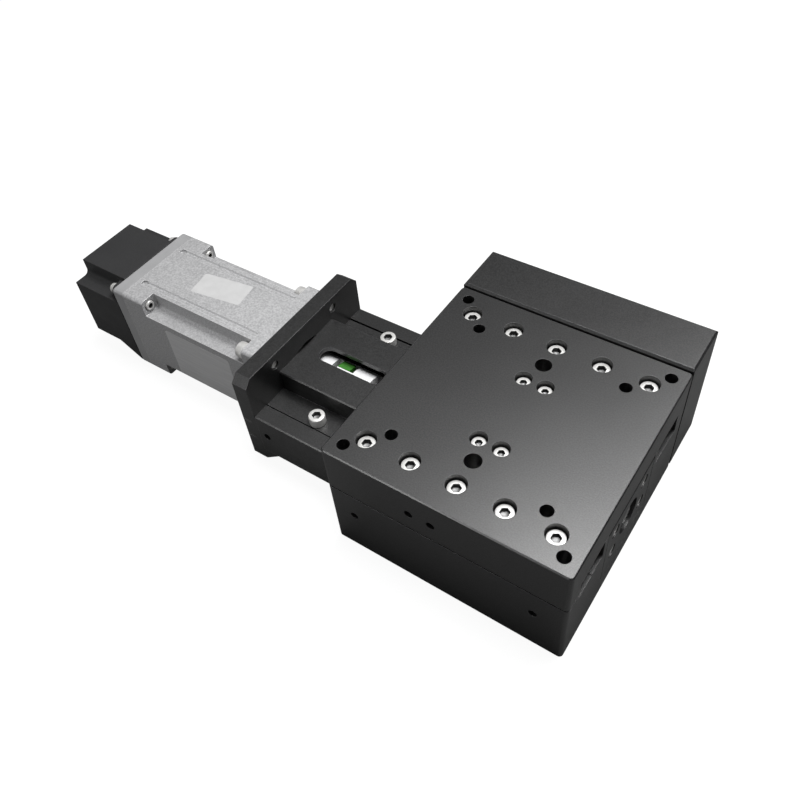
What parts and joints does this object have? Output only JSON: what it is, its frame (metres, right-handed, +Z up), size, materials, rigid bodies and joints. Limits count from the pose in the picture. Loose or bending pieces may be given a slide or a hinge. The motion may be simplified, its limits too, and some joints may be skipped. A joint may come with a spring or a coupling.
{
  "type": "motorised linear stage",
  "caption": "Square linear translation stage on crossed-roller guides, driven by a ball screw, a jaw coupling and a servo motor at one end, with a sensor box along one side.",
  "frame": {"origin": "centre of the base's mounting face, below the table's centre at mid travel", "axes": "+X along the travel, away from the motor; +Y across the table, towards the sensor box; +Z up, out of the table's top"},
  "size_m": [0.324, 0.1585, 0.0695],
  "materials": {
    "black_anodised": "bead-blasted black anodised aluminium",
    "silver_casting": "die-cast aluminium, matte silver",
    "encoder_plastic": "moulded dark grey plastic",
    "screw_steel": "bright stainless steel",
    "bearing_steel": "hardened and ground bearing steel",
    "rail_steel": "hardened and ground steel",
    "cage_alloy": "stamped brass strip",
    "hub_alloy": "clear anodised aluminium",
    "spider_polymer": "green polyurethane",
    "bumper_urethane": "amber urethane",
    "winding_copper": "enamelled copper wire",
    "core_steel": "laminated steel",
    "circuit_board": "green solder mask",
    "sensor_plastic": "black moulded plastic",
    "head_casting": "cast aluminium",
    "flag_steel": "thin stainless sheet",
    "disc_glass": "encoder disc glass",
    "connector_plating": "nickel plated shell"
  },
  "bodies": {
    "frame": {"base": "black_anodised", "coupling_housing": "black_anodised", "motor_bracket": "black_anodised", "tie_bolts": "screw_steel", "coupling_cover": "black_anodised", "cover_screws": "screw_steel", "drive_housing": "black_anodised", "end_plate": "black_anodised", "bearing_unit_screws": "screw_steel", "bearing_retainer": "black_anodised", "retainer_screws": "screw_steel", "bearing_outer_rings": "bearing_steel", "near_inner_rail": "rail_steel", "far_inner_rail": "rail_steel", "inner_rail_screws": "screw_steel", "cage_stops": "screw_steel", "travel_bumpers": "bumper_urethane", "motor_body": "silver_casting", "rear_shield": "silver_casting", "encoder_cap": "encoder_plastic", "motor_screws": "screw_steel", "shield_screws": "screw_steel", "encoder_cap_screws": "screw_steel", "stator_core": "core_steel", "windings": "winding_copper", "encoder_board": "circuit_board", "motor_sockets": "sensor_plastic", "sensor_cover": "black_anodised", "sensor_cover_screws": "screw_steel", "sensor_mount": "black_anodised", "sensor_mount_screws": "screw_steel", "sensor_board": "circuit_board", "position_sensors": "sensor_plastic", "read_head": "head_casting", "sensor_connector": "connector_plating"},
    "carriage": {"table": "black_anodised", "table_screws": "screw_steel", "near_outer_rail": "rail_steel", "far_outer_rail": "rail_steel", "nut_bracket": "black_anodised", "nut_bracket_screws": "screw_steel", "ball_nut": "rail_steel", "ball_nut_screws": "screw_steel", "sensor_flag": "flag_steel", "encoder_scale": "flag_steel"},
    "near_roller_cage": {"near_cage": "cage_alloy", "near_rollers": "bearing_steel"},
    "far_roller_cage": {"far_cage": "cage_alloy", "far_rollers": "bearing_steel"},
    "drive_train": {"ball_screw": "rail_steel", "bearing_inner_rings": "bearing_steel", "lock_nut": "bearing_steel", "screw_hub": "hub_alloy", "spider": "spider_polymer", "motor_hub": "hub_alloy", "coupling_set_screws": "screw_steel", "motor_shaft": "bearing_steel", "rotor_magnets": "core_steel", "encoder_disc": "disc_glass"}
  },
  "joints": [
    {"name": "table_travel", "type": "slide", "parent": "frame", "child": "carriage", "axis": [1, 0, 0], "range_m": [-0.015, 0.015]},
    {"name": "screw_spin", "type": "hinge", "parent": "frame", "child": "drive_train", "pos_m": [0, 0, 0.0323], "axis": [1, 0, 0], "range_deg": [-1080, 1080]},
    {"name": "near_cage_travel", "type": "slide", "parent": "frame", "child": "near_roller_cage", "axis": [1, 0, 0], "range_m": [-0.0075, 0.0075]},
    {"name": "far_cage_travel", "type": "slide", "parent": "frame", "child": "far_roller_cage", "axis": [1, 0, 0], "range_m": [-0.0075, 0.0075]}
  ],
  "couplings": [
    {"joint": "screw_spin", "follows": "table_travel", "rad_per_m": -1256.6},
    {"joint": "near_cage_travel", "follows": "table_travel", "ratio": 0.5},
    {"joint": "far_cage_travel", "follows": "table_travel", "ratio": 0.5}
  ]
}
